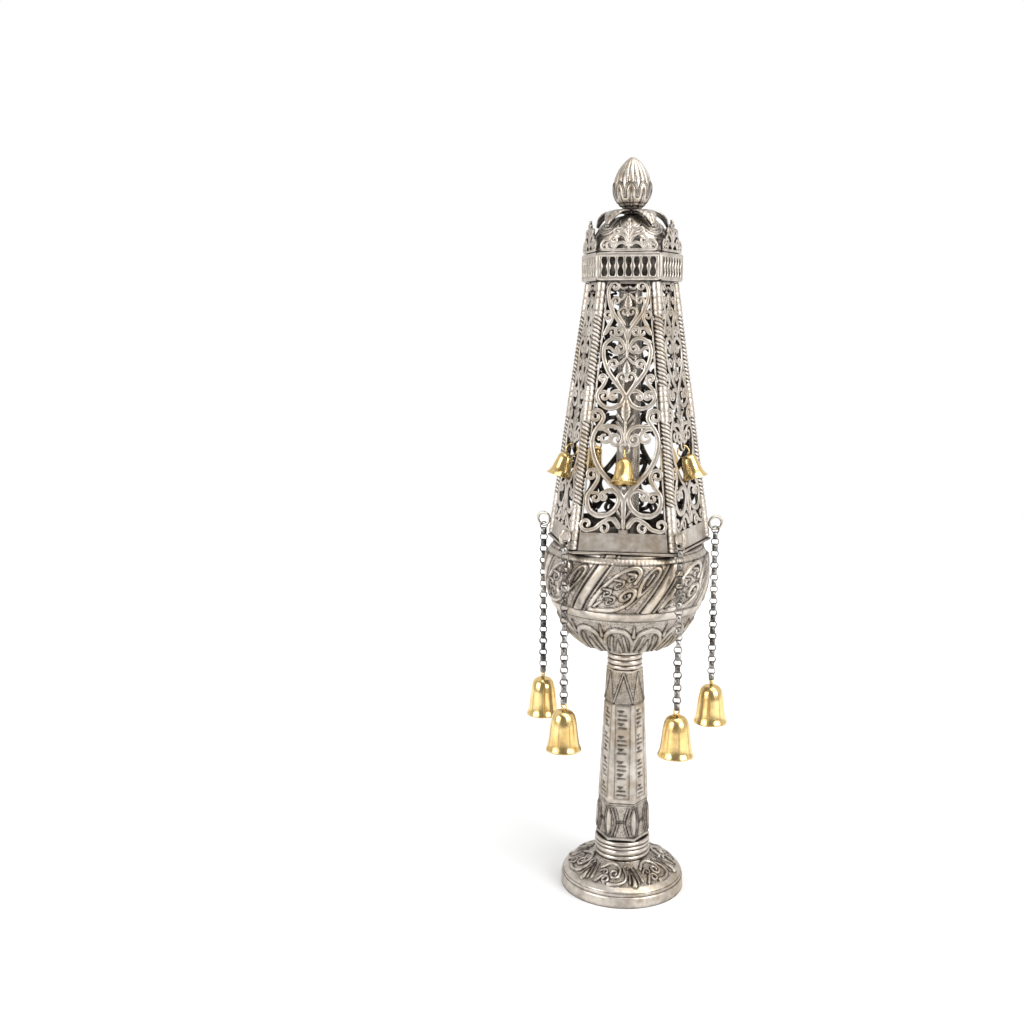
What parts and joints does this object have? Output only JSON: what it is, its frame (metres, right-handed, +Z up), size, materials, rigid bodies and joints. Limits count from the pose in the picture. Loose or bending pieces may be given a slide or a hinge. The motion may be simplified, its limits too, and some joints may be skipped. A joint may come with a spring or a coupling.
{
  "type": "torah finial",
  "caption": "Silver Torah finial: round foot and faceted stave socket, chased knop, openwork five-sided tower hung with gilt bells, gallery, dome and bud.",
  "frame": {"origin": "middle of the foot's underside, on the socket's axis, where the finial stands or seats", "axes": "+Z up along the finial's axis, towards the bud; -Y faces the front panel"},
  "size_m": [0.1144, 0.1108, 0.4],
  "materials": {
    "chased_silver": "antique silver, chased, dark in the recesses",
    "openwork_silver": "cast and pierced antique silver, dark in the recesses",
    "plain_silver": "turned and plain antique silver with light tarnish",
    "tube_silver": "plain drawn silver tube",
    "oxidised_chain": "oxidised silver chain",
    "gilt": "bright gilt brass"
  },
  "bodies": {
    "root": {"foot": "chased_silver", "lower_collar": "plain_silver", "shaft": "plain_silver", "upper_collar": "plain_silver", "knop": "chased_silver", "base_plate": "plain_silver", "inner_tube": "tube_silver", "gallery": "openwork_silver", "dome": "chased_silver", "leaf_rosette": "chased_silver", "bud": "chased_silver", "post_1": "openwork_silver", "post_2": "openwork_silver", "post_3": "openwork_silver", "post_4": "openwork_silver", "post_5": "openwork_silver", "panel_1": "openwork_silver", "panel_2": "openwork_silver", "panel_3": "openwork_silver", "panel_4": "openwork_silver", "panel_5": "openwork_silver", "crest_1": "openwork_silver", "crest_2": "openwork_silver", "crest_3": "openwork_silver", "crest_4": "openwork_silver", "crest_5": "openwork_silver", "corner_ring_1": "plain_silver", "corner_ring_2": "plain_silver", "corner_ring_3": "plain_silver", "corner_ring_4": "plain_silver", "corner_ring_5": "plain_silver", "chain_1": "oxidised_chain", "chain_2": "oxidised_chain", "chain_3": "oxidised_chain", "chain_4": "oxidised_chain", "chain_5": "oxidised_chain", "outer_bell_1": "gilt", "outer_bell_2": "gilt", "outer_bell_3": "gilt", "outer_bell_4": "gilt", "outer_bell_5": "gilt", "inner_bell_1": "gilt", "inner_bell_2": "gilt", "inner_bell_3": "gilt", "inner_bell_4": "gilt", "inner_bell_5": "gilt"}
  },
  "joints": []
}
